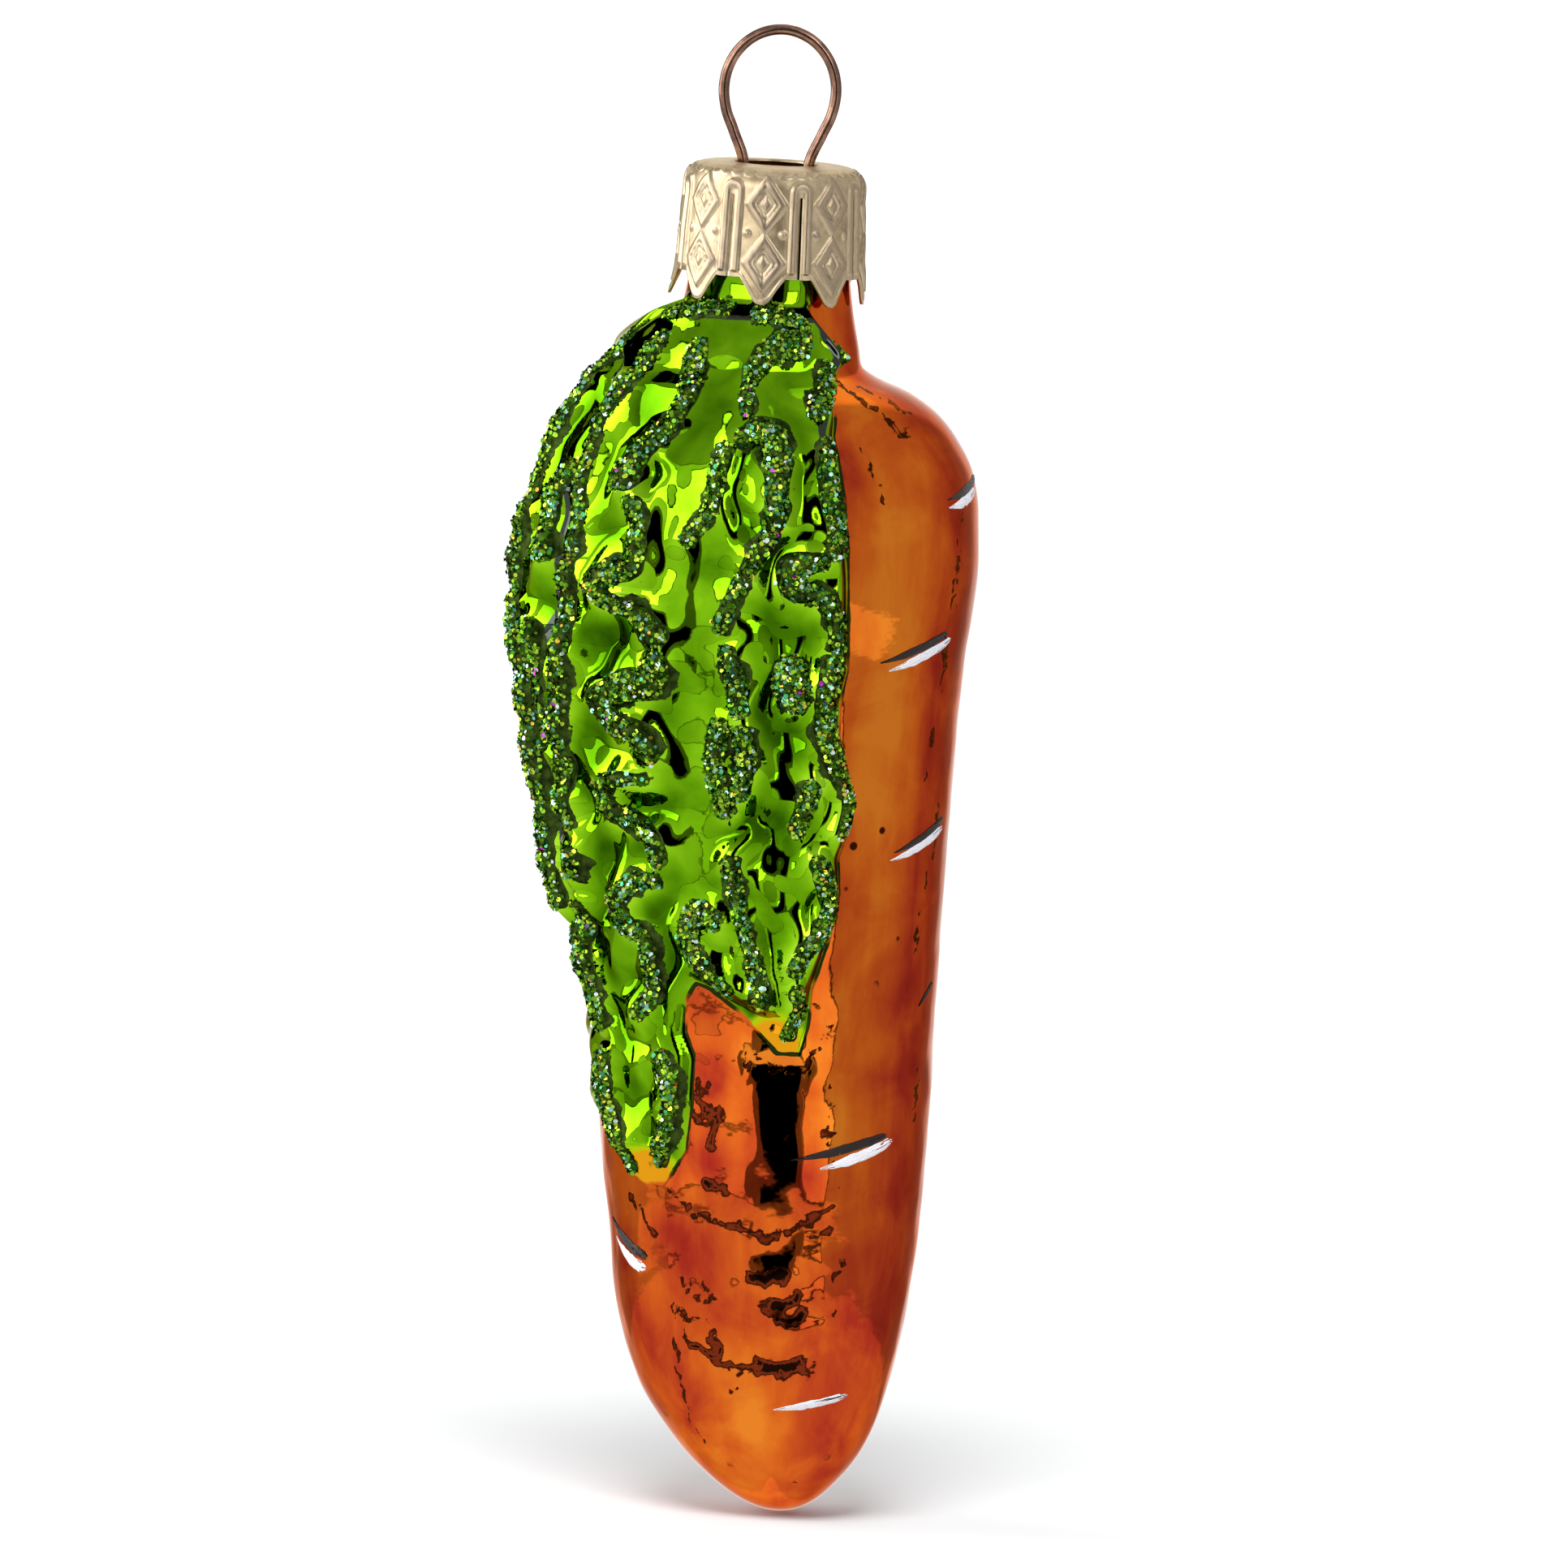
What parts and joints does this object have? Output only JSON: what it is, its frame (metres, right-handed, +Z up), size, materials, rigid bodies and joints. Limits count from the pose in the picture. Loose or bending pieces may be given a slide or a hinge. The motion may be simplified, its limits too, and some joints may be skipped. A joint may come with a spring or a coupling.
{
  "type": "carrot ornament",
  "caption": "Hanging glass carrot with a folded green leaf in relief, glitter lines, a stamped metal cap that lifts off and a wire loop that swivels.",
  "frame": {"origin": "the hang point, at the inside top of the wire loop", "axes": "+Z up along the neck, the cap and the loop; +X to the right across the loop's plane; -Y the front, which carries the folded leaf"},
  "size_m": [0.035, 0.0321, 0.1107],
  "materials": {
    "lacquered_glass": "silvered inside, transparent orange and green lacquer outside, mirror gloss",
    "leaf_lacquer": "transparent green lacquer over silvered glass, mirror gloss",
    "cap_metal": "stamped thin sheet, champagne gold, satin",
    "wire_metal": "copper-brown oxidised wire, semi-matte",
    "glitter_glue": "dark green glitter flakes in clear glue, sparkling",
    "white_paint": "brushed opaque white paint",
    "black_paint": "brushed dark paint, glossy"
  },
  "bodies": {
    "glass": {"glass_shell": "lacquered_glass", "glitter_front_edge": "glitter_glue", "glitter_left_edge": "glitter_glue", "glitter_blob_vein": "glitter_glue", "glitter_zigzag_1": "glitter_glue", "glitter_zigzag_2": "glitter_glue", "glitter_zigzag_3": "glitter_glue", "glitter_zigzag_4": "glitter_glue", "glitter_left_lobe": "glitter_glue", "glitter_lower_left_edge": "glitter_glue", "glitter_lobe_left_edge": "glitter_glue", "glitter_small_left": "glitter_glue", "glitter_top_hook": "glitter_glue", "glitter_middle_vein": "glitter_glue", "glitter_branch": "glitter_glue", "glitter_neck_right": "glitter_glue", "glitter_upper_right": "glitter_glue", "glitter_right_edge_1": "glitter_glue", "glitter_right_hook": "glitter_glue", "glitter_right_edge_2": "glitter_glue", "glitter_right_edge_3": "glitter_glue", "glitter_right_edge_4": "glitter_glue", "glitter_right_blob": "glitter_glue", "glitter_right_small": "glitter_glue", "glitter_column_1": "glitter_glue", "glitter_column_2": "glitter_glue", "glitter_column_side": "glitter_glue", "glitter_column_3": "glitter_glue", "glitter_spiral": "glitter_glue", "glitter_left_vein_1": "glitter_glue", "glitter_left_vein_2": "glitter_glue", "glitter_top_rim_left": "glitter_glue", "glitter_top_rim_right": "glitter_glue"},
    "cap": {"cap": "cap_metal"},
    "hanger": {"hanger_wire": "wire_metal"}
  },
  "joints": [
    {"name": "cap_lift", "type": "slide", "parent": "glass", "child": "cap", "axis": [0, 0, 1], "range_m": [0, 0.02]},
    {"name": "hanger_swivel", "type": "hinge", "parent": "cap", "child": "hanger", "pos_m": [0, 0, -0.0098], "axis": [0, 0, 1], "continuous": true}
  ]
}
